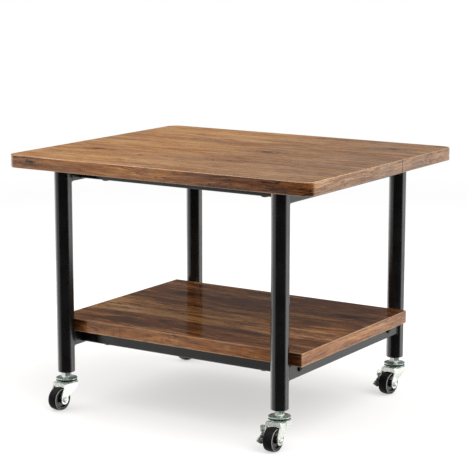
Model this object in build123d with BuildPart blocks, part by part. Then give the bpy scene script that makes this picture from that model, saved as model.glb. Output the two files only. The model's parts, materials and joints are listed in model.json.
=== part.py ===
"""Mobile printer stand: two laminated boards on a welded and bolted tube frame, on four swivel casters.

Millimetres. +Z is up, +X runs along the long side, the front is at -Y, and the origin lies on the
floor below the middle of the stand.
"""

from build123d import *
from math import cos, hypot, radians
import os

os.makedirs("parts", exist_ok=True)

# ---------------------------------------------------------------- driving dimensions
# boards
TOP_LENGTH = 600.0
TOP_DEPTH = 500.0
TOP_HEIGHT = 446.0
BOARD_THICKNESS = 22.0
TOP_CORNER_RADIUS = 20.0
TOP_BAND_THICKNESS = 2.0
BAND_EDGE_RADIUS = 1.2
BAND_SEAM_Y = 55.0
BAND_SEAM_GAP = 0.3
SHELF_LENGTH = 494.0
SHELF_DEPTH = 365.0
SHELF_HEIGHT = 157.0
SHELF_STRIP_THICKNESS = 1.0

# legs
LEG_X = 217.0
LEG_Y = 200.0
LEG_DIAMETER = 30.0
TUBE_WALL = 1.5
LEG_BOTTOM = 65.6
FLANGE_THICKNESS = 1.6
FLANGE_EDGE_RADIUS = 1.2
PLUG_LENGTH = 15.0
BUSH_LENGTH = 30.0

# rails
RAIL_WIDTH = 20.0
SIDE_RAIL_HEIGHT = 25.0
CROSS_RAIL_HEIGHT = 22.0
CROSS_RAIL_Y = 154.0
RAIL_WALL = 1.2
RAIL_EDGE_RADIUS = 1.0
END_PLUG_LENGTH = 15.0

# M6 bolts and screws
M6_RADIUS = 3.0
M6_HOLE_RADIUS = 3.3
BOLT_HEAD_RADIUS = 5.5
BOLT_HEAD_HEIGHT = 3.2
BOLT_LENGTH = 33.0
HEX_SOCKET_FLATS = 4.0
SCREW_X = 160.0
SCREW_HEAD_RADIUS = 7.0
SCREW_HEAD_HEIGHT = 2.6
SCREW_LENGTH = 35.0
CROSS_SLOT_LENGTH = 7.0
CROSS_SLOT_WIDTH = 1.4
CROSS_SLOT_DEPTH = 1.3

# casters, in their own frame: swivel axis on Z, floor at 0, wheel trailing towards -Y
WHEEL_RADIUS = 20.0
WHEEL_WIDTH = 18.0
AXLE_OFFSET = 19.5
AXLE_RADIUS = 2.5
RUNNING_CLEARANCE = 0.05
STEM_RADIUS = 5.0
STEM_TOP = 95.0
STEM_RIVET_RADIUS = 6.5
STEM_RIVET_BOTTOM = 43.4
COLLAR_RADIUS = 7.5
NUT_BOTTOM = 56.0
NUT_TOP = 64.2
NUT_FLATS = 16.0
FORK_TOP = 48.0
FORK_WIDTH = 28.4
FORK_THICKNESS = 2.0
FORK_FRONT_Y = -20.5
FORK_BACK_Y = 13.5
FORK_LIP_HEIGHT = 6.5
FORK_BEND_RADIUS = 2.5
FORK_END_RADIUS = 8.0
RACE_RADIUS = 18.5
RACE_THICKNESS = 1.6
DISH_BOTTOM = 51.2
DISH_THICKNESS = 1.8
DISH_FLAT_RADIUS = 13.0
DISH_RIM_HEIGHT = 55.0
BALL_RADIUS = 1.7
BALL_CIRCLE_RADIUS = 10.5
BALL_COUNT = 14
BALL_HEIGHT = 50.3
GROOVE_RADIUS = 2.0
AXLE_HEAD_RADIUS = 4.6
AXLE_HEAD_HEIGHT = 2.0
AXLE_NUT_FLATS = 8.0
AXLE_NUT_HEIGHT = 3.2
AXLE_END_LENGTH = 1.2
HUB_RADIUS = 16.0
HUB_RIM_RADIUS = 14.0
HUB_BOSS_RADIUS = 6.5
HUB_WEB_WIDTH = 10.0
HUB_BOSS_CLEARANCE = 0.5
TREAD_SHOULDER_WIDTH = 13.0
TREAD_SHOULDER_RADIUS = 19.5
TREAD_SIDE_RADIUS = 18.6
LEVER_GAP = 0.4
LEVER_THICKNESS = 1.5

# each caster: name, side in X, side in Y, swivel angle at rest, whether it has a brake
CASTERS = [
    ("front_left", -1, -1, -5.0, False),
    ("front_right", 1, -1, 0.0, True),
    ("back_left", -1, 1, -28.0, False),
    ("back_right", 1, 1, -6.0, True),
]

# ---------------------------------------------------------------- worked-out sizes
TOP_UNDERSIDE = TOP_HEIGHT - BOARD_THICKNESS
SHELF_UNDERSIDE = SHELF_HEIGHT - BOARD_THICKNESS
LEG_RADIUS = LEG_DIAMETER / 2
LEG_BORE_RADIUS = LEG_RADIUS - TUBE_WALL
TUBE_BOTTOM = LEG_BOTTOM + FLANGE_THICKNESS
TUBE_TOP = TOP_UNDERSIDE - FLANGE_THICKNESS
RAIL_OUTER_X = LEG_X + RAIL_WIDTH / 2
RAIL_INNER_X = LEG_X - RAIL_WIDTH / 2
FORK_HALF = FORK_WIDTH / 2
FORK_INNER = FORK_HALF - FORK_THICKNESS
FORK_PLATE_BOTTOM = FORK_TOP - FORK_THICKNESS
AXLE_Y = -AXLE_OFFSET
AXLE_Z = WHEEL_RADIUS
LEVER_OUTER_X = -(FORK_HALF + LEVER_GAP + LEVER_THICKNESS)
RAIL_LEVELS = [("upper", TOP_UNDERSIDE), ("lower", SHELF_UNDERSIDE)]

wheel_plane = Plane(origin=(0, AXLE_Y, AXLE_Z), x_dir=(1, 0, 0), z_dir=(0, -1, 0))
wheel_axis = Axis((0, AXLE_Y, AXLE_Z), (1, 0, 0))


# ---------------------------------------------------------------- boards
def edge_ring(length, depth, corner, band, underside):
    """A closed strip of edge band round a board, with its outer arrises rounded."""
    with BuildPart() as ring:
        with BuildSketch(Plane.XY.offset(underside)):
            RectangleRounded(length, depth, corner)
        extrude(amount=BOARD_THICKNESS)
        rims = faces().sort_by(Axis.Z)
        fillet([*rims[0].edges(), *rims[-1].edges()], BAND_EDGE_RADIUS)
        with BuildSketch(Plane.XY.offset(underside)):
            RectangleRounded(length - 2 * band, depth - 2 * band, corner - band)
        extrude(amount=BOARD_THICKNESS, mode=Mode.SUBTRACT)
    return ring


with BuildPart() as top_board:
    with BuildSketch(Plane.XY.offset(TOP_UNDERSIDE)):
        RectangleRounded(
            TOP_LENGTH - 2 * TOP_BAND_THICKNESS,
            TOP_DEPTH - 2 * TOP_BAND_THICKNESS,
            TOP_CORNER_RADIUS - TOP_BAND_THICKNESS,
        )
    extrude(amount=BOARD_THICKNESS)
    with BuildSketch(Plane.XY.offset(TOP_UNDERSIDE)):
        with GridLocations(2 * SCREW_X, 2 * CROSS_RAIL_Y, 2, 2):
            Circle(M6_RADIUS)
    extrude(amount=SCREW_LENGTH - CROSS_RAIL_HEIGHT, mode=Mode.SUBTRACT)

top_board.part.label = "top_board"
export_step(top_board.part, "parts/top_board.step")

top_ring = edge_ring(TOP_LENGTH, TOP_DEPTH, TOP_CORNER_RADIUS, TOP_BAND_THICKNESS, TOP_UNDERSIDE)
with BuildPart() as top_edge_band:
    add(top_ring.part)
    with BuildSketch(Plane.XY.offset(TOP_UNDERSIDE)):
        with Locations((TOP_LENGTH / 2, BAND_SEAM_Y)):
            Rectangle(3 * TOP_BAND_THICKNESS, BAND_SEAM_GAP)
    extrude(amount=BOARD_THICKNESS, mode=Mode.SUBTRACT)

top_edge_band.part.label = "top_edge_band"
export_step(top_edge_band.part, "parts/top_edge_band.step")

shelf_core_length = SHELF_LENGTH - 2 * SHELF_STRIP_THICKNESS
shelf_core_depth = SHELF_DEPTH - 2 * SHELF_STRIP_THICKNESS
with BuildPart() as shelf_board:
    with BuildSketch(Plane.XY.offset(SHELF_UNDERSIDE)):
        Rectangle(shelf_core_length, shelf_core_depth)
    extrude(amount=BOARD_THICKNESS)
    with BuildSketch(Plane.XY.offset(SHELF_UNDERSIDE)):
        with GridLocations(2 * SCREW_X, 2 * CROSS_RAIL_Y, 2, 2):
            Circle(M6_RADIUS)
    extrude(amount=SCREW_LENGTH - CROSS_RAIL_HEIGHT, mode=Mode.SUBTRACT)

shelf_board.part.label = "shelf_board"
export_step(shelf_board.part, "parts/shelf_board.step")

# the end strips cover the board's short sides, the long strips run past them to the corners
with BuildPart() as shelf_edge_strips:
    with BuildSketch(Plane.XY.offset(SHELF_UNDERSIDE)):
        with GridLocations(0, SHELF_DEPTH - SHELF_STRIP_THICKNESS, 1, 2):
            Rectangle(SHELF_LENGTH, SHELF_STRIP_THICKNESS)
        with GridLocations(SHELF_LENGTH - SHELF_STRIP_THICKNESS, 0, 2, 1):
            Rectangle(SHELF_STRIP_THICKNESS, shelf_core_depth - 2 * BAND_SEAM_GAP)
    extrude(amount=BOARD_THICKNESS)

shelf_edge_strips.part.label = "shelf_edge_strips"
export_step(shelf_edge_strips.part, "parts/shelf_edge_strips.step")


# ---------------------------------------------------------------- legs
for side_y, row in ((-1, "front"), (1, "back")):
    for side_x, column in ((-1, "left"), (1, "right")):
        with BuildPart() as leg:
            with BuildSketch(Plane.XY.offset(TUBE_BOTTOM)):
                with Locations((side_x * LEG_X, side_y * LEG_Y)):
                    Circle(LEG_RADIUS)
                    Circle(LEG_BORE_RADIUS, mode=Mode.SUBTRACT)
            extrude(amount=TUBE_TOP - TUBE_BOTTOM)
        leg.part.label = f"leg_{row}_{column}"
        export_step(leg.part, f"parts/leg_{row}_{column}.step")

with BuildPart() as leg_top_plugs:
    with BuildSketch(Plane.XY.offset(TUBE_TOP)):
        with GridLocations(2 * LEG_X, 2 * LEG_Y, 2, 2):
            Circle(LEG_RADIUS)
    extrude(amount=FLANGE_THICKNESS)
    with BuildSketch(Plane.XY.offset(TUBE_TOP)):
        with GridLocations(2 * LEG_X, 2 * LEG_Y, 2, 2):
            Circle(LEG_BORE_RADIUS)
            Circle(LEG_BORE_RADIUS - 2 * TUBE_WALL, mode=Mode.SUBTRACT)
    extrude(amount=-PLUG_LENGTH)

leg_top_plugs.part.label = "leg_top_plugs"
export_step(leg_top_plugs.part, "parts/leg_top_plugs.step")

with BuildPart() as leg_stem_bushes:
    with BuildSketch(Plane.XY.offset(LEG_BOTTOM)):
        with GridLocations(2 * LEG_X, 2 * LEG_Y, 2, 2):
            Circle(LEG_RADIUS)
    extrude(amount=FLANGE_THICKNESS)
    fillet(edges().group_by(Axis.Z)[0], FLANGE_EDGE_RADIUS)
    with BuildSketch(Plane.XY.offset(TUBE_BOTTOM)):
        with GridLocations(2 * LEG_X, 2 * LEG_Y, 2, 2):
            Circle(LEG_BORE_RADIUS)
    extrude(amount=BUSH_LENGTH)
    with BuildSketch(Plane.XY.offset(LEG_BOTTOM)):
        with GridLocations(2 * LEG_X, 2 * LEG_Y, 2, 2):
            Circle(STEM_RADIUS)
    extrude(amount=BUSH_LENGTH + FLANGE_THICKNESS, mode=Mode.SUBTRACT)

leg_stem_bushes.part.label = "leg_stem_bushes"
export_step(leg_stem_bushes.part, "parts/leg_stem_bushes.step")


# ---------------------------------------------------------------- rails
def cross_rail_middle(underside):
    """Height of a cross rail's centre line, and so of its end bolts."""
    return underside - CROSS_RAIL_HEIGHT / 2


for level, underside in RAIL_LEVELS:
    for side_x, column in ((-1, "left"), (1, "right")):
        with BuildPart() as side_rail:
            with BuildSketch(Plane.XZ.offset(-LEG_Y)):
                with Locations((side_x * LEG_X, underside - SIDE_RAIL_HEIGHT / 2)):
                    RectangleRounded(RAIL_WIDTH, SIDE_RAIL_HEIGHT, RAIL_EDGE_RADIUS + RAIL_WALL)
                    RectangleRounded(
                        RAIL_WIDTH - 2 * RAIL_WALL,
                        SIDE_RAIL_HEIGHT - 2 * RAIL_WALL,
                        RAIL_EDGE_RADIUS,
                        mode=Mode.SUBTRACT,
                    )
            extrude(amount=2 * LEG_Y)
            # coped to the round legs at both ends
            with BuildSketch(Plane.XY.offset(underside)):
                with Locations((side_x * LEG_X, -LEG_Y), (side_x * LEG_X, LEG_Y)):
                    Circle(LEG_RADIUS)
            extrude(amount=-SIDE_RAIL_HEIGHT, mode=Mode.SUBTRACT)
            with BuildSketch(Plane.YZ.offset(side_x * RAIL_OUTER_X)):
                with Locations(
                    (-CROSS_RAIL_Y, cross_rail_middle(underside)),
                    (CROSS_RAIL_Y, cross_rail_middle(underside)),
                ):
                    Circle(M6_HOLE_RADIUS)
            extrude(amount=-side_x * RAIL_WIDTH, mode=Mode.SUBTRACT)
        side_rail.part.label = f"side_rail_{level}_{column}"
        export_step(side_rail.part, f"parts/side_rail_{level}_{column}.step")

for level, underside in RAIL_LEVELS:
    for side_y, row in ((-1, "front"), (1, "back")):
        with BuildPart() as cross_rail:
            with BuildSketch(Plane.YZ.offset(-RAIL_INNER_X)):
                with Locations((side_y * CROSS_RAIL_Y, cross_rail_middle(underside))):
                    RectangleRounded(RAIL_WIDTH, CROSS_RAIL_HEIGHT, RAIL_EDGE_RADIUS + RAIL_WALL)
                    RectangleRounded(
                        RAIL_WIDTH - 2 * RAIL_WALL,
                        CROSS_RAIL_HEIGHT - 2 * RAIL_WALL,
                        RAIL_EDGE_RADIUS,
                        mode=Mode.SUBTRACT,
                    )
            extrude(amount=2 * RAIL_INNER_X)
            with BuildSketch(Plane.XY.offset(underside)):
                with Locations(
                    (-SCREW_X, side_y * CROSS_RAIL_Y),
                    (SCREW_X, side_y * CROSS_RAIL_Y),
                ):
                    Circle(M6_HOLE_RADIUS)
            extrude(amount=-CROSS_RAIL_HEIGHT, mode=Mode.SUBTRACT)
        cross_rail.part.label = f"cross_rail_{level}_{row}"
        export_step(cross_rail.part, f"parts/cross_rail_{level}_{row}.step")

with BuildPart() as cross_rail_end_plugs:
    for level, underside in RAIL_LEVELS:
        middle = cross_rail_middle(underside)
        for side_x in (-1, 1):
            with BuildSketch(Plane.YZ.offset(side_x * RAIL_INNER_X)):
                with Locations((-CROSS_RAIL_Y, middle), (CROSS_RAIL_Y, middle)):
                    RectangleRounded(
                        RAIL_WIDTH - 2 * RAIL_WALL,
                        CROSS_RAIL_HEIGHT - 2 * RAIL_WALL,
                        RAIL_EDGE_RADIUS,
                    )
                    Circle(M6_RADIUS, mode=Mode.SUBTRACT)
            extrude(amount=-side_x * END_PLUG_LENGTH)

cross_rail_end_plugs.part.label = "cross_rail_end_plugs"
export_step(cross_rail_end_plugs.part, "parts/cross_rail_end_plugs.step")


# ---------------------------------------------------------------- bolts and screws
# a button head bolt along +Z: the head's seat at z = 0, the shank above it
with BuildPart() as button_bolt:
    with BuildSketch(Plane.XZ):
        with BuildLine():
            Polyline((0, BOLT_LENGTH), (M6_RADIUS, BOLT_LENGTH), (M6_RADIUS, 0), (BOLT_HEAD_RADIUS, 0))
            Line((BOLT_HEAD_RADIUS, 0), (BOLT_HEAD_RADIUS, -0.6))
            Spline(
                (BOLT_HEAD_RADIUS, -0.6),
                (0.8 * BOLT_HEAD_RADIUS, -0.75 * BOLT_HEAD_HEIGHT),
                (0.5 * BOLT_HEAD_RADIUS, -BOLT_HEAD_HEIGHT),
                tangents=[(0, -1), (-1, 0)],
            )
            Line((0.5 * BOLT_HEAD_RADIUS, -BOLT_HEAD_HEIGHT), (0, -BOLT_HEAD_HEIGHT))
            Line((0, -BOLT_HEAD_HEIGHT), (0, BOLT_LENGTH))
        make_face()
    revolve(axis=Axis.Z)
    with BuildSketch(Plane.XY.offset(-BOLT_HEAD_HEIGHT)):
        RegularPolygon(HEX_SOCKET_FLATS / 2, 6, major_radius=False)
    extrude(amount=0.6 * BOLT_HEAD_HEIGHT, mode=Mode.SUBTRACT)

with BuildPart() as rail_bolts:
    for level, underside in RAIL_LEVELS:
        for side_x in (-1, 1):
            for side_y in (-1, 1):
                seat = (side_x * RAIL_OUTER_X, side_y * CROSS_RAIL_Y, cross_rail_middle(underside))
                with Locations(Plane(origin=seat, x_dir=(0, 1, 0), z_dir=(-side_x, 0, 0))):
                    add(button_bolt.part)

rail_bolts.part.label = "rail_bolts"
export_step(rail_bolts.part, "parts/rail_bolts.step")

# a truss head screw along +Z with a cross recess: the head's seat at z = 0
with BuildPart() as truss_screw:
    with BuildSketch(Plane.XZ):
        with BuildLine():
            Polyline(
                (0, -SCREW_HEAD_HEIGHT),
                (0, SCREW_LENGTH),
                (M6_RADIUS - 1, SCREW_LENGTH),
                (M6_RADIUS, SCREW_LENGTH - 1),
                (M6_RADIUS, 0),
                (SCREW_HEAD_RADIUS, 0),
                (SCREW_HEAD_RADIUS, -0.5),
            )
            Spline(
                (SCREW_HEAD_RADIUS, -0.5),
                (0.7 * SCREW_HEAD_RADIUS, -0.8 * SCREW_HEAD_HEIGHT),
                (0, -SCREW_HEAD_HEIGHT),
                tangents=[(-0.3, -1), (-1, 0)],
            )
        make_face()
    revolve(axis=Axis.Z)
    with BuildSketch(Plane.XY.offset(-SCREW_HEAD_HEIGHT)):
        Rectangle(CROSS_SLOT_LENGTH, CROSS_SLOT_WIDTH)
        Rectangle(CROSS_SLOT_WIDTH, CROSS_SLOT_LENGTH)
    extrude(amount=CROSS_SLOT_DEPTH, mode=Mode.SUBTRACT)

for name, underside in (("top_board_screws", TOP_UNDERSIDE), ("shelf_screws", SHELF_UNDERSIDE)):
    with BuildPart() as board_screws:
        with Locations((0, 0, underside - CROSS_RAIL_HEIGHT)):
            with GridLocations(2 * SCREW_X, 2 * CROSS_RAIL_Y, 2, 2):
                add(truss_screw.part)
    board_screws.part.label = name
    export_step(board_screws.part, f"parts/{name}.step")

# ---------------------------------------------------------------- caster, fixed to the leg
# threaded stem with a hex collar, riveted over below the fork
with BuildPart() as stem_form:
    with BuildSketch(Plane.XZ):
        with BuildLine():
            Polyline(
                (0, STEM_RIVET_BOTTOM),
                (STEM_RIVET_RADIUS - 1, STEM_RIVET_BOTTOM),
                (STEM_RIVET_RADIUS, STEM_RIVET_BOTTOM + 1),
                (STEM_RIVET_RADIUS, FORK_PLATE_BOTTOM - LEVER_GAP),
                (STEM_RADIUS, FORK_PLATE_BOTTOM - LEVER_GAP),
                (STEM_RADIUS, DISH_BOTTOM + DISH_THICKNESS),
                (COLLAR_RADIUS, DISH_BOTTOM + DISH_THICKNESS),
                (COLLAR_RADIUS, NUT_BOTTOM),
                (STEM_RADIUS, NUT_BOTTOM),
                (STEM_RADIUS, STEM_TOP - 1),
                (STEM_RADIUS - 1, STEM_TOP),
                (0, STEM_TOP),
                close=True,
            )
        make_face()
    revolve(axis=Axis.Z)
    with BuildSketch(Plane.XY.offset(NUT_BOTTOM)):
        RegularPolygon(NUT_FLATS / 2, 6, major_radius=False)
    extrude(amount=NUT_TOP - NUT_BOTTOM)
    corner_radius = NUT_FLATS / 2 / cos(radians(30))
    with BuildSketch(Plane.XZ):
        for height, step in ((NUT_BOTTOM, 1), (NUT_TOP, -1)):
            with BuildLine():
                Polyline(
                    (NUT_FLATS / 2, height),
                    (corner_radius + 1, height),
                    (corner_radius + 1, height + step * 1.4),
                    close=True,
                )
            make_face()
    revolve(axis=Axis.Z, mode=Mode.SUBTRACT)

# saucer-shaped upper race, open side up
rim_drop = DISH_RIM_HEIGHT - DISH_THICKNESS
with BuildPart() as dish_form:
    with BuildSketch(Plane.XZ):
        with BuildLine():
            Polyline(
                (STEM_RADIUS, DISH_BOTTOM),
                (DISH_FLAT_RADIUS, DISH_BOTTOM),
                (RACE_RADIUS, rim_drop),
                (RACE_RADIUS, DISH_RIM_HEIGHT),
                (DISH_FLAT_RADIUS - 1, DISH_BOTTOM + DISH_THICKNESS),
                (STEM_RADIUS, DISH_BOTTOM + DISH_THICKNESS),
                close=True,
            )
        make_face()
        with Locations((BALL_CIRCLE_RADIUS, BALL_HEIGHT)):
            Circle(GROOVE_RADIUS, mode=Mode.SUBTRACT)
    revolve(axis=Axis.Z)
    fillet(edges().group_by(Axis.Z)[-1], 0.5)

# ---------------------------------------------------------------- caster, turning with the fork
with BuildPart() as balls_form:
    with Locations((0, 0, BALL_HEIGHT)):
        with PolarLocations(BALL_CIRCLE_RADIUS, BALL_COUNT):
            Sphere(BALL_RADIUS)

bore = STEM_RADIUS + RUNNING_CLEARANCE
with BuildPart() as race_form:
    with BuildSketch(Plane.XZ):
        with BuildLine():
            Polyline(
                (bore, FORK_TOP),
                (RACE_RADIUS - 0.6, FORK_TOP),
                (RACE_RADIUS, FORK_TOP + 0.6),
                (RACE_RADIUS, FORK_TOP + RACE_THICKNESS + 0.4),
                (RACE_RADIUS - 1.6, FORK_TOP + RACE_THICKNESS + 0.4),
                (RACE_RADIUS - 2.6, FORK_TOP + RACE_THICKNESS),
                (bore, FORK_TOP + RACE_THICKNESS),
                close=True,
            )
        make_face()
        with Locations((BALL_CIRCLE_RADIUS, BALL_HEIGHT)):
            Circle(BALL_RADIUS, mode=Mode.SUBTRACT)
    revolve(axis=Axis.Z)

# stamped fork: top plate, two side plates and a short lip on the trailing side
with BuildPart() as fork_form:
    with BuildSketch(Plane.YZ.offset(-FORK_HALF)):
        with BuildLine():
            Polyline(
                (FORK_FRONT_Y, FORK_TOP),
                (FORK_BACK_Y, FORK_TOP),
                (FORK_BACK_Y, FORK_TOP - 9),
                (AXLE_Y + FORK_END_RADIUS - 0.4, AXLE_Z + 4),
                (AXLE_Y, AXLE_Z),
                (AXLE_Y - FORK_END_RADIUS, AXLE_Z),
                (AXLE_Y - FORK_END_RADIUS, AXLE_Z + 6),
                (FORK_FRONT_Y, FORK_TOP - 8),
                close=True,
            )
        make_face()
        with Locations((AXLE_Y, AXLE_Z)):
            Circle(FORK_END_RADIUS)
        fillet(vertices().sort_by_distance((AXLE_Y + FORK_END_RADIUS, AXLE_Z + 4))[0], 6)
        fillet(vertices().sort_by_distance((FORK_BACK_Y, FORK_TOP - 9))[0], 4)
    extrude(amount=FORK_WIDTH)
    roof = faces().sort_by(Axis.Z)[-1]
    fillet(roof.edges().filter_by(Axis.Y), FORK_BEND_RADIUS)
    with BuildSketch(Plane.XZ.offset(-FORK_BACK_Y)):
        with Locations((0, FORK_PLATE_BOTTOM / 2)):
            Rectangle(2 * FORK_INNER, FORK_PLATE_BOTTOM)
    extrude(amount=FORK_BACK_Y - FORK_FRONT_Y - FORK_THICKNESS, mode=Mode.SUBTRACT)
    # below the lip the trailing side is open too
    with BuildSketch(Plane.XZ.offset(-FORK_BACK_Y)):
        lip_bottom = FORK_TOP - FORK_LIP_HEIGHT
        with Locations((0, lip_bottom / 2)):
            Rectangle(2 * FORK_INNER, lip_bottom)
    extrude(amount=2 * WHEEL_RADIUS + FORK_BACK_Y, mode=Mode.SUBTRACT)
    with BuildSketch(Plane.XY.offset(FORK_PLATE_BOTTOM)):
        Circle(bore)
    extrude(amount=FORK_THICKNESS, mode=Mode.SUBTRACT)
    with BuildSketch(Plane.YZ.offset(-FORK_HALF)):
        with Locations((AXLE_Y, AXLE_Z)):
            Circle(AXLE_RADIUS)
    extrude(amount=FORK_WIDTH, mode=Mode.SUBTRACT)

# hex nut on the axle's +X end, with a washer face towards the fork
with BuildPart() as axle_nut_form:
    with BuildSketch(Plane.YZ.offset(FORK_HALF)):
        with Locations((AXLE_Y, AXLE_Z)):
            Circle(1.25 * AXLE_NUT_FLATS / 2)
            Circle(AXLE_RADIUS, mode=Mode.SUBTRACT)
    extrude(amount=0.6)
    with BuildSketch(Plane.YZ.offset(FORK_HALF + 0.6)):
        with Locations((AXLE_Y, AXLE_Z)):
            RegularPolygon(AXLE_NUT_FLATS / 2, 6, major_radius=False)
            Circle(AXLE_RADIUS, mode=Mode.SUBTRACT)
    extrude(amount=AXLE_NUT_HEIGHT - 0.6)
    chamfer(faces().sort_by(Axis.X)[-1].outer_wire().edges(), 0.5)


def axle_bolt(head_seat_x):
    """The wheel's axle: a domed head at -X, seated at head_seat_x, and a rounded end past the nut."""
    end_x = FORK_HALF + AXLE_NUT_HEIGHT + AXLE_END_LENGTH
    head_x = head_seat_x - AXLE_HEAD_HEIGHT
    with BuildPart() as bolt:
        with BuildSketch(wheel_plane):
            with BuildLine():
                Polyline(
                    (head_x, 0),
                    (end_x, 0),
                    (end_x, AXLE_RADIUS - 1),
                    (end_x - 0.8, AXLE_RADIUS),
                    (head_seat_x, AXLE_RADIUS),
                    (head_seat_x, AXLE_HEAD_RADIUS),
                    (head_seat_x - 0.5, AXLE_HEAD_RADIUS),
                )
                Spline(
                    (head_seat_x - 0.5, AXLE_HEAD_RADIUS),
                    (head_x + 0.4, 0.65 * AXLE_HEAD_RADIUS),
                    (head_x, 0),
                    tangents=[(-1, -0.2), (0, -1)],
                )
            make_face()
        revolve(axis=wheel_axis)
    return bolt


# ---------------------------------------------------------------- caster wheel
hub_half = FORK_INNER - HUB_BOSS_CLEARANCE
rim_half = WHEEL_WIDTH / 2 - 0.6
with BuildPart() as hub_form:
    with BuildSketch(wheel_plane):
        with BuildLine():
            Polyline(
                (-hub_half, AXLE_RADIUS + RUNNING_CLEARANCE),
                (hub_half, AXLE_RADIUS + RUNNING_CLEARANCE),
                (hub_half, HUB_BOSS_RADIUS - 1),
                (HUB_WEB_WIDTH / 2, HUB_BOSS_RADIUS),
                (HUB_WEB_WIDTH / 2, HUB_RIM_RADIUS - 1),
                (rim_half, HUB_RIM_RADIUS),
                (rim_half, HUB_RADIUS),
                (-rim_half, HUB_RADIUS),
                (-rim_half, HUB_RIM_RADIUS),
                (-HUB_WEB_WIDTH / 2, HUB_RIM_RADIUS - 1),
                (-HUB_WEB_WIDTH / 2, HUB_BOSS_RADIUS),
                (-hub_half, HUB_BOSS_RADIUS - 1),
                close=True,
            )
        make_face()
    revolve(axis=wheel_axis)

tyre_half = WHEEL_WIDTH / 2
shoulder_half = TREAD_SHOULDER_WIDTH / 2
side_half = tyre_half - 0.4
with BuildPart() as tyre_form:
    with BuildSketch(wheel_plane):
        with BuildLine():
            # the crowned tread, rounded shoulders and a thin raised line round each side face
            ThreePointArc(
                (-shoulder_half, TREAD_SHOULDER_RADIUS),
                (0, WHEEL_RADIUS),
                (shoulder_half, TREAD_SHOULDER_RADIUS),
            )
            for side in (-1, 1):
                Spline(
                    (side * shoulder_half, TREAD_SHOULDER_RADIUS),
                    (side * (tyre_half - 0.5), TREAD_SIDE_RADIUS + 0.1),
                    (side * tyre_half, TREAD_SIDE_RADIUS - 0.6),
                    tangents=[(side, -0.15), (0, -1)],
                )
                Polyline(
                    (side * tyre_half, TREAD_SIDE_RADIUS - 0.6),
                    (side * tyre_half, TREAD_SIDE_RADIUS - 1.1),
                    (side * side_half, TREAD_SIDE_RADIUS - 1.4),
                    (side * side_half, HUB_RADIUS),
                )
            Line((-side_half, HUB_RADIUS), (side_half, HUB_RADIUS))
        make_face()
    revolve(axis=wheel_axis)


# ---------------------------------------------------------------- brake lever
# the pedal's hinge line on the lever plate, from its inner end down to its trailing end
PEDAL_INNER = (AXLE_Y - 10.5, AXLE_Z + 11.0)
PEDAL_TRAILING = (AXLE_Y - 26.0, AXLE_Z + 2.3)
run_y = PEDAL_TRAILING[0] - PEDAL_INNER[0]
run_z = PEDAL_TRAILING[1] - PEDAL_INNER[1]
pedal_length = hypot(run_y, run_z)
lever_inner_x = LEVER_OUTER_X + LEVER_THICKNESS
pedal_plane = Plane(
    origin=(lever_inner_x, *PEDAL_INNER),
    x_dir=(-1, 0, 0),
    z_dir=(0, run_z / pedal_length, -run_y / pedal_length),
)

with BuildPart() as lever_form:
    # side plate: an eye on the axle, an arm up to the release tab and an arm back to the pedal
    with BuildSketch(Plane.YZ.offset(LEVER_OUTER_X)):
        with BuildLine():
            Polyline(
                (AXLE_Y + 5, AXLE_Z + 4),
                (AXLE_Y - 3.5, AXLE_Z + 17.8),
                (AXLE_Y - 10.5, AXLE_Z + 17.8),
                PEDAL_INNER,
                PEDAL_TRAILING,
                (AXLE_Y - 24, AXLE_Z - 0.5),
                (AXLE_Y - 13, AXLE_Z - 7),
                (AXLE_Y, AXLE_Z - 6.5),
                close=True,
            )
        make_face()
        with Locations((AXLE_Y, AXLE_Z)):
            Circle(6.5)
            Circle(AXLE_RADIUS + RUNNING_CLEARANCE, mode=Mode.SUBTRACT)
    extrude(amount=LEVER_THICKNESS)
    # pedal, bent outwards, narrowing to a rounded toe
    with BuildSketch(pedal_plane):
        with BuildLine():
            Polyline(
                (0, 0),
                (10.4, -12.4),
                (11.3, -14.4),
                (10.8, -16.4),
                (8.6, -pedal_length),
                (0, -pedal_length),
                close=True,
            )
        make_face()
    extrude(amount=-LEVER_THICKNESS)
    # release tab, bent outwards at the trailing edge of the upper arm
    with Locations((LEVER_OUTER_X - 0.8, AXLE_Y - 9.75, AXLE_Z + 15.3)):
        Box(1.6, LEVER_THICKNESS, 5)
    # brake prong, bent inwards past the fork towards the side of the wheel
    prong_tip_x = -(WHEEL_WIDTH / 2 + 0.6)
    with Locations(((lever_inner_x + prong_tip_x) / 2, AXLE_Y - 13, AXLE_Z + 1)):
        Box(prong_tip_x - lever_inner_x, LEVER_THICKNESS, 4)


# ---------------------------------------------------------------- four casters at the legs
for caster, side_x, side_y, swivel, braked in CASTERS:
    stance = Location((side_x * LEG_X, side_y * LEG_Y, 0), (0, 0, swivel))
    head_seat_x = LEVER_OUTER_X - LEVER_GAP if braked else -FORK_HALF
    pieces = [
        ("stem", stem_form),
        ("bearing_dish", dish_form),
        ("bearing_balls", balls_form),
        ("lower_race", race_form),
        ("fork", fork_form),
        ("axle", axle_bolt(head_seat_x)),
        ("axle_nut", axle_nut_form),
        ("hub", hub_form),
        ("tyre", tyre_form),
    ]
    if braked:
        pieces.append(("brake_lever", lever_form))
    for piece, form in pieces:
        with BuildPart() as placed:
            with Locations(stance):
                add(form.part)
        placed.part.label = f"{piece}_{caster}"
        export_step(placed.part, f"parts/{piece}_{caster}.step")
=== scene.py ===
import json
import math

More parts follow.
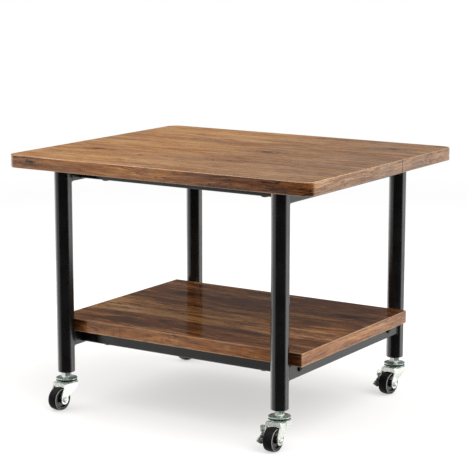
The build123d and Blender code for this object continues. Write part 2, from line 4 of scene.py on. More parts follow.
import bmesh
import bpy
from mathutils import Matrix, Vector


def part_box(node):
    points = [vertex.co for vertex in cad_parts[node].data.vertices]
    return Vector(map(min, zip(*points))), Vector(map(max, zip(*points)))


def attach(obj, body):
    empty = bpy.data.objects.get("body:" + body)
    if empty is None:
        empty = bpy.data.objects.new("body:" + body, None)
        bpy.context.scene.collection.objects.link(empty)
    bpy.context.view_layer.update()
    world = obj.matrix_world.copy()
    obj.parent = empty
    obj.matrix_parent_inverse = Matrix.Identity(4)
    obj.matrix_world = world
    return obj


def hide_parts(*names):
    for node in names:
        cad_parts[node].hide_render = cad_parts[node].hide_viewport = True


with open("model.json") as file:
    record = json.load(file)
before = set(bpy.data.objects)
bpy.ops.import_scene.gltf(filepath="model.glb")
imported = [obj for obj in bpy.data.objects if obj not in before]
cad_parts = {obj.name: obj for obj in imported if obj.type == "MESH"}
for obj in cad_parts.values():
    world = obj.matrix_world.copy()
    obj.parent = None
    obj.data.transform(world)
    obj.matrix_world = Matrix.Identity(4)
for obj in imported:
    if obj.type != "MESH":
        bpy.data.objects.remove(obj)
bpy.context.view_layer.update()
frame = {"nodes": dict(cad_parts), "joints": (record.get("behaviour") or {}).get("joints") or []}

MM = 0.001
nodes = frame["nodes"]
joints = {joint["name"]: joint for joint in frame["joints"]}
CASTERS = ("front_left", "front_right", "back_left", "back_right")

# sizes that the frame's boxes don't give; TREAD_CROWN is how far the tread falls to its shoulders
BAND_THICKNESS = 2 * MM
BAND_ARRIS = 1.2 * MM
BAND_CORNER = 20 * MM
BAND_SEAM_Y = 55 * MM
BAND_SEAM_GAP = 0.3 * MM
BAND_SPACING = 15 * MM
TYRE_WIDTH = 18 * MM
TYRE_BORE = 16 * MM
TREAD_CROWN = 0.5225 * MM
WELD_RADIUS = 1.5 * MM
WELD_RIPPLE = 0.14

# where the looks change on a caster: radii from the axle, the distance from the wheel's middle, and
# heights above the floor
TREAD_FADE = (18.8 * MM, 19.7 * MM)
LINE_INNER_FADE = (17.0 * MM, 17.3 * MM)
LINE_OUTER_FADE = (19.1 * MM, 18.7 * MM)
LINE_SIDE_FADE = (7.9 * MM, 8.4 * MM)
GREASE_AND_SHADE_LOW_FADE = (47.5 * MM, 48.5 * MM)
GREASE_AND_SHADE_HIGH_FADE = (57.0 * MM, 55.0 * MM)

# zinc dulled by bearing grease, with painted shade under the dish
GREASE_AND_SHADE = (0.19, 0.27, 0.245)

# where the middle of a side strip of the shelf lies along the grain, the long strips' being at 0
SIDE_STRIP_MIDDLE = 0.55

# camera: where it looks and from where
VIEW_AZIMUTH = 32.725
VIEW_TILT = 10.623
VIEW_DISTANCE = 2.9706
VIEW_LENS = 127.9
VIEW_AIM = Vector((-0.0067, 0.0111, 0.2893))
VIEW_CLIP_END = 200.0

# studio lights: azimuth from the front and elevation in degrees, the cosines where the light starts
# and where it is full, and its strength
OVERHEAD = (20.0, 82.0, 0.35, 0.95, 2.3)
RIGHT_BOX = (90.0, 50.0, 0.78, 0.95, 3.5)
LEFT_BOX = (-75.0, 50.0, 0.82, 0.96, 1.7)
RIGHT_RIM = (122.0, -8.0, 0.92, 0.985, 1.5)
LEFT_RIM = (-98.0, -8.0, 0.88, 0.97, 1.3)

# light from below the horizon, dark round one azimuth in front and turning light 64 to 72 degrees
# away, and the weaker light from above it
DARK_AZIMUTH = 36.0
DARK_EDGE_COSINES = (0.438, 0.309)
DARK_STRENGTH = 0.03
LIT_STRENGTH = 1.05
ABOVE_STRENGTH = 0.11
HORIZON_FADE = 0.06

# the floor's size, the distances over which its colour and its glow fade, and its glow near and far
FLOOR_RADIUS = 30.0
FLOOR_COLOUR_FADE = (0.45, 2.6)
FLOOR_GLOW_FADE = (0.45, 2.8)
FLOOR_GLOW = (0.57, 1.0)


# ---------------------------------------------- node graphs
class Graph:
    """Adds shader nodes to a node tree: every method returns an output socket."""

    def __init__(self, tree):
        self.tree = tree
        tree.nodes.clear()

    def node(self, kind, inputs=(), **settings):
        made = self.tree.nodes.new("ShaderNode" + kind)
        for key, value in settings.items():
            setattr(made, key, value)
        for key, value in dict(inputs).items():
            self.feed(made.inputs[key], value)
        return made

    def feed(self, socket, value):
        if isinstance(value, bpy.types.NodeSocket):
            self.tree.links.new(value, socket)
        else:
            socket.default_value = value

    def math(self, operation, *values):
        made = self.node("Math", operation=operation)
        for socket, value in zip(made.inputs, values):
            self.feed(socket, value)
        return made.outputs[0]

    def add(self, *values):
        total = values[0]
        for value in values[1:]:
            total = self.math("ADD", total, value)
        return total

    def times(self, *values):
        total = values[0]
        for value in values[1:]:
            total = self.math("MULTIPLY", total, value)
        return total

    def minus(self, first, second):
        return self.math("SUBTRACT", first, second)

    def over(self, first, second):
        return self.math("DIVIDE", first, second)

    def magnitude(self, value):
        return self.math("ABSOLUTE", value)

    def dot(self, first, second):
        made = self.node("VectorMath", {0: first, 1: second}, operation="DOT_PRODUCT")
        return made.outputs["Value"]

    def fit(self, value, low, high, to_low=0.0, to_high=1.0):
        """Maps low..high smoothly on to to_low..to_high, clamped."""
        inputs = {
            "Value": value,
            "From Min": low,
            "From Max": high,
            "To Min": to_low,
            "To Max": to_high,
        }
        return self.node("MapRange", inputs, interpolation_type="SMOOTHSTEP").outputs[0]

    def split(self, vector):
        return self.node("SeparateXYZ", {"Vector": vector}).outputs

    def join(self, x, y, z):
        return self.node("CombineXYZ", {"X": x, "Y": y, "Z": z}).outputs[0]

    def noise(self, vector, scale, detail, roughness=0.5):
        inputs = {"Vector": vector, "Scale": scale, "Detail": detail, "Roughness": roughness}
        return self.node("TexNoise", inputs).outputs["Fac"]

    def place(self):
        """The point's place in the stand's own frame."""
        return self.node("TexCoord").outputs["Object"]

    def attribute(self, name):
        return self.node("Attribute", attribute_name=name).outputs["Vector"]

    def ramp(self, value, stops):
        made = self.node("ValToRGB", {"Fac": value})
        elements = made.color_ramp.elements
        while len(elements) < len(stops):
            elements.new(1.0)
        for element, (position, colour) in zip(elements, stops):
            element.position = position
            element.color = (*colour, 1.0)
        return made.outputs["Color"]

    def blend(self, amount, first, second):
        """The first colour at amount 0, the second at 1."""
        made = self.node("Mix", data_type="RGBA", clamp_factor=True)
        self.feed(made.inputs["Factor"], amount)
        for socket, value in ((made.inputs[6], first), (made.inputs[7], second)):
            self.feed(socket, (*value, 1.0) if isinstance(value, tuple) else value)
        return made.outputs[2]

    def scaled(self, colour, amount):
        """A colour made brighter or darker by a number."""
        made = self.node("VectorMath", {0: colour}, operation="SCALE")
        self.feed(made.inputs["Scale"], amount)
        return made.outputs[0]

    def bump(self, height, distance, strength):
        inputs = {"Height": height, "Distance": distance, "Strength": strength}
        return self.node("Bump", inputs).outputs[0]

    def edges(self, width):
        """1 on sharp edges, 0 on flats: how far a softened normal turns from the true one."""
        soft = self.node("Bevel", {"Radius": width}, samples=4).outputs[0]
        true = self.node("NewGeometry").outputs["Normal"]
        return self.fit(self.dot(soft, true), 0.995, 0.85)


class Surface(Graph):
    """A material with one Principled shader."""

    def __init__(self, name):
        self.material = bpy.data.materials.new(name)
        self.material.use_nodes = True
        super().__init__(self.material.node_tree)
        self.shader = self.node("BsdfPrincipled")
        self.output = self.node("OutputMaterial", {"Surface": self.shader.outputs[0]})

    def finish(self, **inputs):
        for key, value in inputs.items():
            self.feed(self.shader.inputs[key.replace("_", " ")], value)
        return self.material


# ---------------------------------------------- materials
# the laminate's printed wood, from its cracks and knots to its lightest streaks
WOOD_TONES = [
    (0.00, (0.014, 0.004, 0.002)),
    (0.22, (0.055, 0.017, 0.005)),
    (0.42, (0.140, 0.047, 0.011)),
    (0.60, (0.252, 0.100, 0.027)),
    (0.78, (0.380, 0.190, 0.066)),
    (1.00, (0.520, 0.315, 0.145)),
]


def laminate(
    name, grain, length, width, along_tones, across_tones, knots,
    base, mottle, grey, strip=False, seam=0.0,
):
    """Printed wood on a board or an edge strip.

    grain gives (along, across, depth) in metres; length and width are the reaches that the tone
    lists cover, lightening (over 0.5) or darkening the wood; base is the mean shade and mottle how
    strong the figure is; grey is (along, across, from, to), the direction in which the wood turns
    greyer. A strip's arrises are lighter, as rubbed wear and a painted highlight; seam is how far
    from its start a strip is darkened by glue.
    """
    surface = Surface(name)
    along, across, depth = surface.split(grain(surface))

    def around(value, reach):
        """A noise value spread about zero."""
        return surface.times(surface.minus(value, 0.5), reach)

    def figure(lengthwise, crosswise, detail, offset, line=None):
        """Noise drawn out along the grain; the scales are waves per metre."""
        vector = surface.join(
            surface.times(along, lengthwise),
            surface.times(line or across, crosswise),
            surface.add(depth, offset),
        )
        return surface.noise(vector, 1.0, detail, 0.62)

    def tone(value, reach, tones):
        """The tone list's shade at a place, about zero."""
        share = surface.over(surface.minus(value, reach[0]), reach[1] - reach[0])
        shade = surface.ramp(share, [(place, (shade,) * 3) for place, shade in tones])
        return surface.minus(surface.split(shade)[0], 0.5)

    bent = surface.add(
        across,
        around(figure(3.0, 9.0, 2.0, 0.3), 0.035),
        around(figure(11.0, 26.0, 2.0, 0.8), 0.006),
    )
    shadow = surface.fit(along, seam, 0.2 * seam) if seam else 0.0
    for knot_along, knot_across, size in knots:
        reach_along = surface.over(surface.minus(along, knot_along), 2.8 * size)
        reach_across = surface.over(surface.minus(across, knot_across), size)
        squared = surface.add(
            surface.times(reach_along, reach_along),
            surface.times(reach_across, reach_across),
        )
        ragged = surface.fit(figure(26.0, 60.0, 2.0, 2.9), 0.30, 0.70, 0.55, 1.6)
        squared = surface.times(squared, ragged)
        bell = surface.math("EXPONENT", surface.times(squared, -1.0))
        bent = surface.minus(bent, surface.times(bell, reach_across, 0.6 * size))
        rings = surface.math("SINE", surface.times(surface.math("SQRT", squared), 15.0))
        core = surface.fit(squared, 0.14, 0.0)
        ring_shade = surface.times(bell, surface.fit(rings, -1.0, 1.0, 0.15, 0.45))
        shadow = surface.add(shadow, ring_shade, surface.times(core, 0.6))

    clouds = figure(6.0, 34.0, 3.0, 3.7, bent)
    streaks = figure(9.0, 150.0, 4.0, 1.3, bent)
    flecks = figure(24.0, 420.0, 3.0, 6.1, bent)
    fibres = figure(60.0, 760.0, 3.0, 5.9)
    pores = surface.fit(figure(30.0, 420.0, 3.0, 2.2, bent), 0.60, 0.72)
    saw_marks = surface.fit(figure(420.0, 16.0, 2.0, 7.4), 0.56, 0.76)
    ridge = surface.magnitude(surface.minus(figure(8.0, 62.0, 3.0, 4.4, bent), 0.5))
    patches = surface.fit(figure(7.0, 24.0, 2.0, 6.6), 0.46, 0.60)
    cracks = surface.times(surface.fit(ridge, 0.016, 0.002), patches)
    wander = around(figure(3.0, 14.0, 3.0, 9.2), 0.014)
    value = surface.add(
        base,
        tone(surface.add(along, around(patches, 0.03)), length, along_tones),
        tone(surface.add(bent, wander), width, across_tones),
        around(clouds, 0.70 * mottle),
        around(streaks, 1.15 * mottle),
        around(flecks, 0.95 * mottle),
        around(fibres, 0.60),
        surface.times(pores, -0.24),
        surface.times(cracks, -0.30),
        surface.times(saw_marks, -0.09),
        surface.times(shadow, -0.55),
    )
    colour = surface.ramp(value, WOOD_TONES)
    grey_place = surface.add(surface.times(along, grey[0]), surface.times(across, grey[1]))
    greyed = surface.times(surface.fit(figure(9.0, 30.0, 3.0, 8.1, bent), 0.46, 0.64), 0.25)
    greyed = surface.add(greyed, surface.fit(grey_place, grey[2], grey[3], 0.0, 0.5))
    duller = {"Color": colour, "Hue": 0.507, "Saturation": 0.64, "Value": 0.74}
    colour = surface.blend(greyed, colour, surface.node("HueSaturation", duller).outputs[0])
    if strip:
        middle, half = (width[0] + width[1]) / 2, (width[1] - width[0]) / 2
        from_middle = surface.magnitude(surface.minus(across, middle))
        # the arrises lighter: partly rubbed wear, partly a painted highlight
        rubbed = surface.times(surface.fit(from_middle, half - 1.7 * MM, half - 0.7 * MM), 0.25)
        colour = surface.blend(rubbed, colour, (0.62, 0.42, 0.27))
    relief = surface.add(
        surface.times(fibres, 0.7),
        surface.times(pores, -0.6),
        surface.times(cracks, -0.8),
    )
    return surface.finish(
        Base_Color=colour,
        Roughness=surface.fit(surface.add(fibres, streaks), 0.7, 1.3, 0.40, 0.30),
        Specular_IOR_Level=0.0,
        Coat_Weight=1.0,
        Coat_Roughness=0.11,
        Coat_IOR=1.46,
        Normal=surface.bump(relief, 0.04 * MM, 0.35),
    )


def powder_coat(name):
    """Satin black polyester coat: fine orange peel, a little dust, edges rubbed lighter."""
    surface = Surface(name)
    place = surface.place()
    peel = surface.noise(place, 1500.0, 2.0, 0.6)
    cloud = surface.noise(place, 22.0, 3.0, 0.6)
    speck = surface.fit(surface.noise(place, 4200.0, 1.0), 0.70, 0.78)
    colour = surface.blend(cloud, (0.002, 0.002, 0.00216), (0.0034, 0.0034, 0.0036))
    colour = surface.blend(surface.times(speck, 0.35), colour, (0.030, 0.030, 0.030))
    rubbed = surface.times(surface.edges(0.7 * MM), 0.5)
    colour = surface.blend(rubbed, colour, (0.035, 0.035, 0.036))
    return surface.finish(
        Base_Color=colour,
        Roughness=surface.fit(cloud, 0.25, 0.75, 0.19, 0.31),
        Specular_IOR_Level=0.68,
        Normal=surface.bump(peel, 0.03 * MM, 0.5),
    )


def moulded(name, tone, roughness):
    """Moulded plastic: a fine spark-eroded grain and a slightly uneven gloss."""
    surface = Surface(name)
    place = surface.place()
    grain = surface.noise(place, 900.0, 3.0, 0.65)
    cloud = surface.noise(place, 60.0, 3.0, 0.6)
    colour = surface.blend(cloud, (tone * 0.7,) * 3, (tone * 1.5,) * 3)
    rubbed = surface.times(surface.edges(0.4 * MM), 0.5)
    colour = surface.blend(rubbed, colour, (tone * 4,) * 3)
    return surface.finish(
        Base_Color=colour,
        Roughness=surface.fit(cloud, 0.25, 0.75, roughness - 0.07, roughness + 0.08),
        Normal=surface.bump(grain, 0.03 * MM, 0.5),
    )


def plated(name, light, dark, roughness, metallic=1.0):
    """Plated steel: rolling lines, cloudy passivation, brighter edges, grease and painted shade at
    the races.
    """
    surface = Surface(name)
    place = surface.place()
    x, y, z = surface.split(place)
    drawn_out = surface.join(
        surface.times(x, 900.0),
        surface.times(y, 900.0),
        surface.times(z, 90.0),
    )
    lines = surface.noise(drawn_out, 1.0, 3.0)
    cloud = surface.noise(place, 75.0, 4.0, 0.6)
    colour = surface.blend(surface.fit(cloud, 0.35, 0.65), dark, light)
    colour = surface.scaled(colour, surface.fit(lines, 0.3, 0.7, 0.92, 1.05))
    rubbed = surface.times(surface.edges(0.4 * MM), 0.6)
    colour = surface.blend(rubbed, colour, (0.86, 0.87, 0.85))
    # darker and greener between the bearing races: partly grease, partly painted shade under the
    # dish
    greased_and_shaded = surface.times(surface.fit(z, *GREASE_AND_SHADE_LOW_FADE), surface.fit(z, *GREASE_AND_SHADE_HIGH_FADE))
    greased_and_shaded = surface.times(greased_and_shaded, surface.fit(cloud, 0.3, 0.6, 0.9, 0.5))
    colour = surface.blend(greased_and_shaded, colour, GREASE_AND_SHADE)
    return surface.finish(
        Base_Color=colour,
        Metallic=metallic,
        Roughness=surface.fit(cloud, 0.3, 0.7, roughness + 0.07, roughness - 0.05),
        Normal=surface.bump(lines, 0.02 * MM, 0.5),
    )


def rubber(name):
    """Tyre rubber: dusty, scuffed tread, the raised side lines grey as wear and a painted
    highlight.
    """
    surface = Surface(name)
    across, radius, turn = surface.split(surface.attribute("wheel"))
    place = surface.place()
    grain = surface.noise(place, 1400.0, 3.0, 0.7)
    dust = surface.noise(place, 170.0, 4.0, 0.65)
    around_tread = surface.join(surface.times(across, 300.0), 0.0, surface.times(turn, 14.0))
    scuffs = surface.noise(around_tread, 1.0, 4.0, 0.7)
    colour = surface.blend(dust, (0.003, 0.003, 0.003), (0.007, 0.007, 0.007))
    on_tread = surface.fit(radius, *TREAD_FADE)
    worn = surface.times(on_tread, surface.fit(scuffs, 0.5, 0.75), 0.6)
    colour = surface.blend(worn, colour, (0.012, 0.0115, 0.011))
    side = surface.magnitude(across)
    # the raised line on each side lighter grey: partly rubbed wear, partly a painted highlight
    line = surface.times(
        surface.fit(side, *LINE_SIDE_FADE),
        surface.fit(radius, *LINE_INNER_FADE),
        surface.fit(radius, *LINE_OUTER_FADE),
    )
    colour = surface.blend(surface.times(line, 0.9), colour, (0.20, 0.20, 0.195))
    return surface.finish(
        Base_Color=colour,
        Roughness=surface.fit(dust, 0.3, 0.7, 0.42, 0.56),
        Specular_IOR_Level=0.06,
        Normal=surface.bump(surface.add(grain, surface.times(scuffs, on_tread)), 0.04 * MM, 0.5),
    )


def board_grain(surface):
    """Along a board, across it, and through it."""
    return surface.place()


def band_grain(surface):
    """Along the wrapped band from its seam, up it, and a value that differs the two ways round."""
    return surface.attribute("grain")


def strip_grain(surface):
    """Along a shelf strip, up it, and 1 on the side strips, which follow on from the long ones."""
    x, y, z = surface.split(surface.place())
    facing = surface.split(surface.node("NewGeometry").outputs["Normal"])[0]
    sideways = surface.math("GREATER_THAN", surface.magnitude(facing), 0.5)
    along = surface.add(
        surface.times(sideways, surface.add(y, SIDE_STRIP_MIDDLE)),
        surface.times(surface.minus(1.0, sideways), x),
    )
    return surface.join(along, z, sideways)


# tone lists hold (share of the reach, shade); knots hold (along, across, size) in metres
top_low, top_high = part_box("top_board")
shelf_low, shelf_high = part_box("shelf_board")
top_width, shelf_width = (top_low.y, top_high.y), (shelf_low.y, shelf_high.y)
board_length = (top_low.x, top_high.x)
# the top darker towards the right: partly the wood's tone, partly a painted shadow
top_along_tones_and_shadow = [(0.0, 0.56), (0.30, 0.55), (0.60, 0.47), (1.0, 0.45)]
top_across = [
    (0.0, 0.50), (0.15, 0.54), (0.35, 0.46), (0.50, 0.53), (0.68, 0.46), (0.85, 0.54), (1.0, 0.50),
]
top_knots = [(0.225, 0.165, 0.014), (-0.215, -0.105, 0.011), (0.060, 0.015, 0.017)]
shelf_along = [(0.0, 0.51), (0.50, 0.51), (0.80, 0.40), (1.0, 0.41)]
shelf_across = [
    (0.0, 0.48), (0.09, 0.42), (0.21, 0.41), (0.27, 0.67),
    (0.42, 0.65), (0.55, 0.49), (0.78, 0.37), (1.0, 0.42),
]
shelf_knots = [(-0.070, -0.118, 0.012), (0.195, 0.085, 0.015), (-0.165, 0.085, 0.013)]
strip_tones = [(0.0, 0.50), (0.5, 0.52), (1.0, 0.50)]
# the long strips' tones, dark beside the legs as painted shade, then the side strips'
shelf_strip_reach = (-0.27, 0.74)
shelf_strip_tones_and_shade = [
    (0.0, 0.20), (0.066, 0.12), (0.080, 0.33), (0.094, 0.47), (0.13, 0.45),
    (0.27, 0.50), (0.42, 0.45), (0.466, 0.41), (0.478, 0.02), (0.486, 0.06),
    (0.501, 0.26), (0.62, 0.54), (0.80, 0.54), (1.0, 0.53),
]
# the wrapped band's tones by the distance from its seam, either way round to the left side
wrap_reach = (0.0, 1.083)
# the lightening into the rounded front-right corner is a painted highlight
wrap_tones_and_highlight = [
    (0.0, 0.55), (0.20, 0.59), (0.276, 0.66), (0.29, 0.24), (0.42, 0.26),
    (0.52, 0.38), (0.62, 0.49), (0.78, 0.43), (0.84, 0.38), (1.0, 0.49),
]
wrap_knots = [(0.841, 0.437, 0.007)]
# a grey direction whose reach lies beyond every piece
NOT_GREY = (1.0, 0.0, 1.0, 2.0)

finishes = {
    "laminate_top": laminate(
        "laminate_top", board_grain, board_length, top_width,
        top_along_tones_and_shadow, top_across, top_knots,
        base=0.66, mottle=0.54, grey=(1.0, 0.0, -0.20, 0.26),
    ),
    "laminate_shelf": laminate(
        "laminate_shelf", board_grain, board_length, shelf_width,
        shelf_along, shelf_across, shelf_knots,
        base=0.51, mottle=1.05, grey=(0.0, 1.0, 0.0, 0.60),
    ),
    "edge_band": laminate(
        "edge_band", strip_grain, shelf_strip_reach, (shelf_low.z, shelf_high.z),
        shelf_strip_tones_and_shade, strip_tones, [],
        base=0.53, mottle=0.65, grey=NOT_GREY, strip=True,
    ),
    "black_powder_coat": powder_coat("black_powder_coat"),
    "black_plastic": moulded("black_plastic", 0.008, 0.36),
    "black_oxide_steel": plated(
        "black_oxide_steel", (0.060, 0.060, 0.064), (0.028, 0.028, 0.031), 0.30,
    ),
    "zinc_steel": plated("zinc_steel", (0.74, 0.76, 0.71), (0.58, 0.62, 0.57), 0.27, 0.7),
    "bearing_steel": plated("bearing_steel", (0.50, 0.50, 0.48), (0.34, 0.34, 0.33), 0.14),
    "lever_steel": plated("lever_steel", (0.46, 0.47, 0.45), (0.20, 0.205, 0.20), 0.28, 0.75),
    "hub_plastic": moulded("hub_plastic", 0.004, 0.30),
    "tyre_rubber": rubber("tyre_rubber"),
}
wrapped_band = laminate(
    "wrapped_edge_band", band_grain, wrap_reach, (top_low.z, top_high.z),
    wrap_tones_and_highlight, strip_tones, wrap_knots,
    base=0.56, mottle=0.60, grey=(-1.0, 0.0, -0.31, -0.26), strip=True, seam=1.2 * MM,
)

for node in nodes.values():
    slot = node.data.materials[0].name.split(".")[0]
    node.data.materials[0] = finishes[slot]


# ---------------------------------------------- softened CAD edges
def soften(name, width, segments=2):
    """Rounds a CAD node's sharp edges: pressed and turned pieces have no knife edges."""
    node = nodes[name]
    weld = node.modifiers.new("join_corners", "WELD")
    weld.merge_threshold = 0.01 * MM
    bevel = node.modifiers.new("round_edges", "BEVEL")
    bevel.width = width
    bevel.segments = segments
    bevel.limit_method = "ANGLE"
    bevel.angle_limit = math.radians(32)
    bevel.harden_normals = True


# ---------------------------------------------- meshes of this script
def new_piece(name, mesh, material, body):
    """An object for a finished mesh, riding on a CAD body."""
    piece = bpy.data.objects.new(name, mesh)
    bpy.context.scene.collection.objects.link(piece)
    mesh.materials.append(material)
    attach(piece, body)
    return piece


def sweep(name, rings, closed_path, notes, attribute):
    """A mesh through rings of points; notes holds a vector for each, kept as an attribute."""
    form = bmesh.new()
    layer = form.verts.layers.float_vector.new(attribute)
    rows = []
    for ring, ring_notes in zip(rings, notes):
        row = [form.verts.new(point) for point in ring]
        for vertex, note in zip(row, ring_notes):
            vertex[layer] = note
        rows.append(row)
    count = len(rows[0])
    following = rows[1:] + rows[:1] if closed_path else rows[1:]
    for row, after in zip(rows, following):
        for i in range(count):
            j = (i + 1) % count
            form.faces.new((row[i], after[i], after[j], row[j]))
    for face in form.faces:
        face.smooth = True
    if not closed_path:
        for end in (rows[0][::-1], rows[-1]):
            for edge in form.faces.new(end).edges:
                edge.smooth = False
    bmesh.ops.recalc_face_normals(form, faces=form.faces)
    mesh = bpy.data.meshes.new(name)
    form.to_mesh(mesh)
    form.free()
    return mesh


def arc(centre, radius, start, end, steps):
    """Points on an arc in a plane, from start to end in degrees."""
    angles = [math.radians(start + (end - start) * i / steps) for i in range(steps + 1)]
    return [(centre[0] + radius * math.cos(a), centre[1] + radius * math.sin(a)) for a in angles]


def run_points(start, end):
    """The start of a straight run and points along it, up to but without its end."""
    count = max(1, round(math.dist(start[:2], end[:2]) / BAND_SPACING))
    return [tuple(a + (b - a) * i / count for a, b in zip(start, end)) for i in range(count)]


def top_edge_band():
    """The banding round the top board, one strip from seam to seam, with rounded arrises."""
    low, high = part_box("top_edge_band")
    half_x, half_y = high.x, high.y
    gap = BAND_SEAM_GAP / 2
    # points of the path: x, y and the direction in which the band faces
    path = [(half_x, BAND_SEAM_Y + gap, 0.0)]
    corners = ((1, 1, 0), (-1, 1, 90), (-1, -1, 180), (1, -1, 270))
    steps = 16
    for side_x, side_y, start in corners:
        centre = (side_x * (half_x - BAND_CORNER), side_y * (half_y - BAND_CORNER))
        for step, (x, y) in enumerate(arc(centre, BAND_CORNER, start, start + 90, steps)):
            path.append((x, y, math.radians(start + 90 * step / steps)))
    path.append((half_x, BAND_SEAM_Y - gap, 2 * math.pi))
    spaced = [point for start, end in zip(path, path[1:]) for point in run_points(start, end)]
    path = spaced + path[-1:]
    inner = BAND_THICKNESS
    lower = arc((BAND_ARRIS, low.z + BAND_ARRIS), BAND_ARRIS, 270, 180, 6)
    upper = arc((BAND_ARRIS, high.z - BAND_ARRIS), BAND_ARRIS, 180, 90, 6)
    profile = [(inner, low.z), *lower, *upper, (inner, high.z)]
    around = sum(math.dist(a[:2], b[:2]) for a, b in zip(path, path[1:]))
    rings, notes, travelled, before = [], [], 0.0, path[0]
    for point in path:
        travelled += math.dist(point[:2], before[:2])
        before = point
        from_seam = min(travelled, around - travelled)
        drift = 0.5 * math.sin(2 * math.pi * travelled / around)
        out_x, out_y = math.cos(point[2]), math.sin(point[2])
        rings.append([
            Vector((point[0] - depth * out_x, point[1] - depth * out_y, z)) for depth, z in profile
        ])
        notes.append([Vector((from_seam, z, drift)) for depth, z in profile])
    mesh = sweep("top_edge_band_wrap", rings, False, notes, "grain")
    piece = new_piece("top_edge_band_wrap", mesh, wrapped_band, "frame")
    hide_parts("top_edge_band")


def tyre(caster):
    """A tyre turned round its wheel's axis: crowned tread, round shoulders, a line on each side."""
    spin = joints["wheel_spin_" + caster]
    centre, axis = Vector(spin["pos_m"]), Vector(spin["axis"])
    radius = centre.z
    half = TYRE_WIDTH / 2
    # from the shoulder over the raised line down to the side wall: shares of the half width, and
    # drops below the tread in millimetres
    side = [
        (0.72, 0.52), (0.80, 0.66), (0.88, 0.92), (0.945, 1.30), (0.985, 1.75), (1.0, 2.10),
        (1.0, 2.55), (0.985, 2.72), (0.960, 2.85), (0.955, 3.1),
    ]
    right = [(half * share, radius - drop * MM) for share, drop in side]
    left = [(-across, r) for across, r in reversed(right)]
    shoulder, wall = right[0][0], right[-1][0]
    turns = [i / 4 for i in range(-3, 4)]
    crown = [(shoulder * turn, radius - TREAD_CROWN * turn ** 2) for turn in turns]
    profile = [(-wall, TYRE_BORE), *left, *crown, *right, (wall, TYRE_BORE)]
    up = Vector((0, 0, 1))
    forward = up.cross(axis)
    steps = 144
    rings, notes = [], []
    for step in range(steps):
        angle = 2 * math.pi * step / steps
        spoke = up * math.cos(angle) + forward * math.sin(angle)
        rings.append([centre + axis * across + spoke * r for across, r in profile])
        notes.append([Vector((across, r, 0.5 - abs(step / steps - 0.5))) for across, r in profile])
    mesh = sweep("tread_" + caster, rings, True, notes, "wheel")
    material = finishes["tyre_rubber"]
    piece = new_piece("tread_" + caster, mesh, material, "wheel_" + caster)
    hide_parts("tyre_" + caster)


def weld_points(rail, leg, inward):
    """Points down one side of a rail's end on its leg, along under it and up the other side."""
    (rail_low, rail_high), (leg_low, leg_high) = rail, leg
    middle = (leg_low + leg_high) / 2
    radius = (leg_high.x - leg_low.x) / 2
    reach = (rail_high.x - rail_low.x) / 2
    top, bottom = rail_high.z - WELD_RADIUS, rail_low.z
    across, up = 12, 14

    def on_leg(x, z):
        return Vector((middle.x + x, middle.y + inward * math.sqrt(radius ** 2 - x ** 2), z))

    rise = [bottom + (top - bottom) * i / up for i in range(up + 1)]
    points = [on_leg(-reach, z) for z in reversed(rise)]
    points += [on_leg(-reach + 2 * reach * i / across, bottom) for i in range(1, across)]
    points += [on_leg(reach, z) for z in rise]
    return points


def weld_beads():
    """A small ripple bead round each joint of a side rail with a leg, under the coat."""
    ripples = 4
    curve = bpy.data.curves.new("weld_path", "CURVE")
    curve.dimensions = "3D"
    curve.bevel_depth = WELD_RADIUS
    curve.bevel_resolution = 3
    curve.use_fill_caps = True
    for level in ("upper", "lower"):
        for column in ("left", "right"):
            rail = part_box(f"side_rail_{level}_{column}")
            for row, inward in (("front", 1), ("back", -1)):
                points = weld_points(rail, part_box(f"leg_{row}_{column}"), inward)
                spline = curve.splines.new("POLY")
                spline.points.add((len(points) - 1) * ripples)
                for i, point in enumerate(spline.points):
                    step, part = divmod(i, ripples)
                    after = points[min(step + 1, len(points) - 1)]
                    point.co = (*points[step].lerp(after, part / ripples), 1.0)
                    swell = math.cos(2 * math.pi * i / 3)
                    point.radius = 1 - WELD_RIPPLE + WELD_RIPPLE * swell
    path = bpy.data.objects.new("weld_path", curve)
    bpy.context.scene.collection.objects.link(path)
    bpy.context.view_layer.update()
    depsgraph = bpy.context.evaluated_depsgraph_get()
    mesh = bpy.data.meshes.new_from_object(path.evaluated_get(depsgraph))
    mesh.polygons.foreach_set("use_smooth", [True] * len(mesh.polygons))
    bpy.data.objects.remove(path)
    new_piece("weld_beads", mesh, finishes["black_powder_coat"], "frame")


top_edge_band()
weld_beads()
for caster in CASTERS:
    tyre(caster)
    soften("fork_" + caster, 0.5 * MM, 3)
    soften("stem_" + caster, 0.25 * MM)
    soften("axle_nut_" + caster, 0.15 * MM)
    if "brake_lever_" + caster in nodes:
        soften("brake_lever_" + caster, 0.3 * MM)


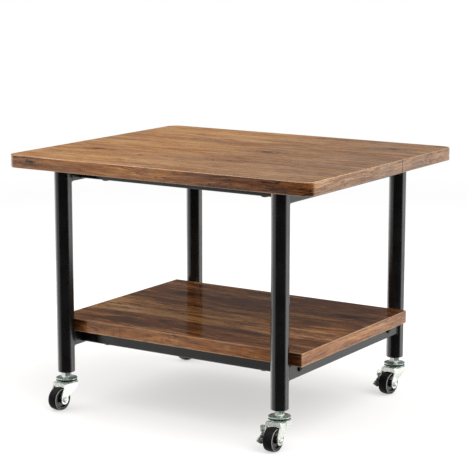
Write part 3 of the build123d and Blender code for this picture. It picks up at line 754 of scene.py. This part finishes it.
# ---------------------------------------------- studio
def studio_light():
    """A dome of soft light: bright at the sides and above, dim in front, plain white to the eye."""
    world = bpy.data.worlds.new("studio")
    bpy.context.scene.world = world
    world.use_nodes = True
    graph = Graph(world.node_tree)
    direction = graph.node("TexCoord").outputs["Generated"]
    z = graph.split(direction)[2]

    def towards(azimuth, elevation):
        """Cosine between the direction and one given as an azimuth from the front and elevation."""
        a, e = math.radians(azimuth), math.radians(elevation)
        aim = Vector((math.sin(a) * math.cos(e), -math.cos(a) * math.cos(e), math.sin(e)))
        return graph.dot(direction, aim)

    def lamp(azimuth, elevation, start, full, strength):
        return graph.times(graph.fit(towards(azimuth, elevation), start, full), strength)

    # the cosine of the azimuth alone: the direction's, divided by its level length
    level_squared = graph.minus(1.0, graph.times(z, z))
    level = graph.math("SQRT", graph.math("MAXIMUM", level_squared, 0.01))
    round_cosine = graph.over(towards(DARK_AZIMUTH, 0.0), level)
    lit_side = graph.fit(round_cosine, *DARK_EDGE_COSINES)
    below = graph.fit(z, HORIZON_FADE, -HORIZON_FADE)
    above = graph.fit(z, -HORIZON_FADE, HORIZON_FADE)
    strength = graph.add(
        graph.times(below, graph.fit(lit_side, 0.0, 1.0, DARK_STRENGTH, LIT_STRENGTH)),
        graph.times(above, ABOVE_STRENGTH),
        lamp(*OVERHEAD),
        lamp(*RIGHT_BOX),
        lamp(*LEFT_BOX),
        graph.times(below, lamp(*RIGHT_RIM)),
        graph.times(below, lamp(*LEFT_RIM)),
    )
    warm_white, plain_white = (1.0, 0.995, 0.985, 1.0), (1.0, 1.0, 1.0, 1.0)
    lit = graph.node("Background", {"Color": warm_white, "Strength": strength}).outputs[0]
    plain = graph.node("Background", {"Color": plain_white, "Strength": 1.0}).outputs[0]
    seen = graph.node("LightPath").outputs["Is Camera Ray"]
    mixed = graph.node("MixShader", {0: seen, 1: lit, 2: plain}).outputs[0]
    graph.node("OutputWorld", {"Surface": mixed})


def studio_floor():
    """A wide pale floor that fades to white away from the stand."""
    form = bmesh.new()
    bmesh.ops.create_circle(form, cap_ends=True, segments=96, radius=FLOOR_RADIUS)
    mesh = bpy.data.meshes.new("studio_floor")
    form.to_mesh(mesh)
    form.free()
    floor = bpy.data.objects.new("studio_floor", mesh)
    bpy.context.scene.collection.objects.link(floor)
    surface = Surface("studio_floor")
    place = surface.place()
    length = surface.node("VectorMath", {0: place}, operation="LENGTH").outputs["Value"]
    far = surface.fit(length, *FLOOR_COLOUR_FADE)
    mesh.materials.append(
        surface.finish(
            Base_Color=surface.blend(far, (0.29, 0.287, 0.282), (0.0, 0.0, 0.0)),
            Roughness=0.9,
            Specular_IOR_Level=0.0,
            Emission_Color=(1.0, 1.0, 1.0, 1.0),
            Emission_Strength=surface.fit(length, *FLOOR_GLOW_FADE, *FLOOR_GLOW),
        )
    )
    # one-sided, so that the stand can be seen from below
    below = surface.node("NewGeometry").outputs["Backfacing"]
    clear = surface.node("BsdfTransparent").outputs[0]
    sides = surface.node("MixShader", {0: below, 1: surface.shader.outputs[0], 2: clear})
    surface.feed(surface.output.inputs["Surface"], sides.outputs[0])
    floor.visible_glossy = False


def camera():
    """The view of the photograph: a long lens, tilted down, without a shift."""
    lens = bpy.data.cameras.new("camera")
    lens.lens = VIEW_LENS
    lens.clip_end = VIEW_CLIP_END
    eye = bpy.data.objects.new("camera", lens)
    bpy.context.scene.collection.objects.link(eye)
    azimuth, tilt = math.radians(VIEW_AZIMUTH), math.radians(VIEW_TILT)
    level = math.cos(tilt)
    look = Vector((-math.sin(azimuth) * level, math.cos(azimuth) * level, -math.sin(tilt)))
    eye.location = VIEW_AIM - look * VIEW_DISTANCE
    eye.rotation_euler = look.to_track_quat("-Z", "Y").to_euler()
    bpy.context.scene.camera = eye


studio_light()
studio_floor()
camera()
bpy.context.scene.view_settings.view_transform = "Standard"
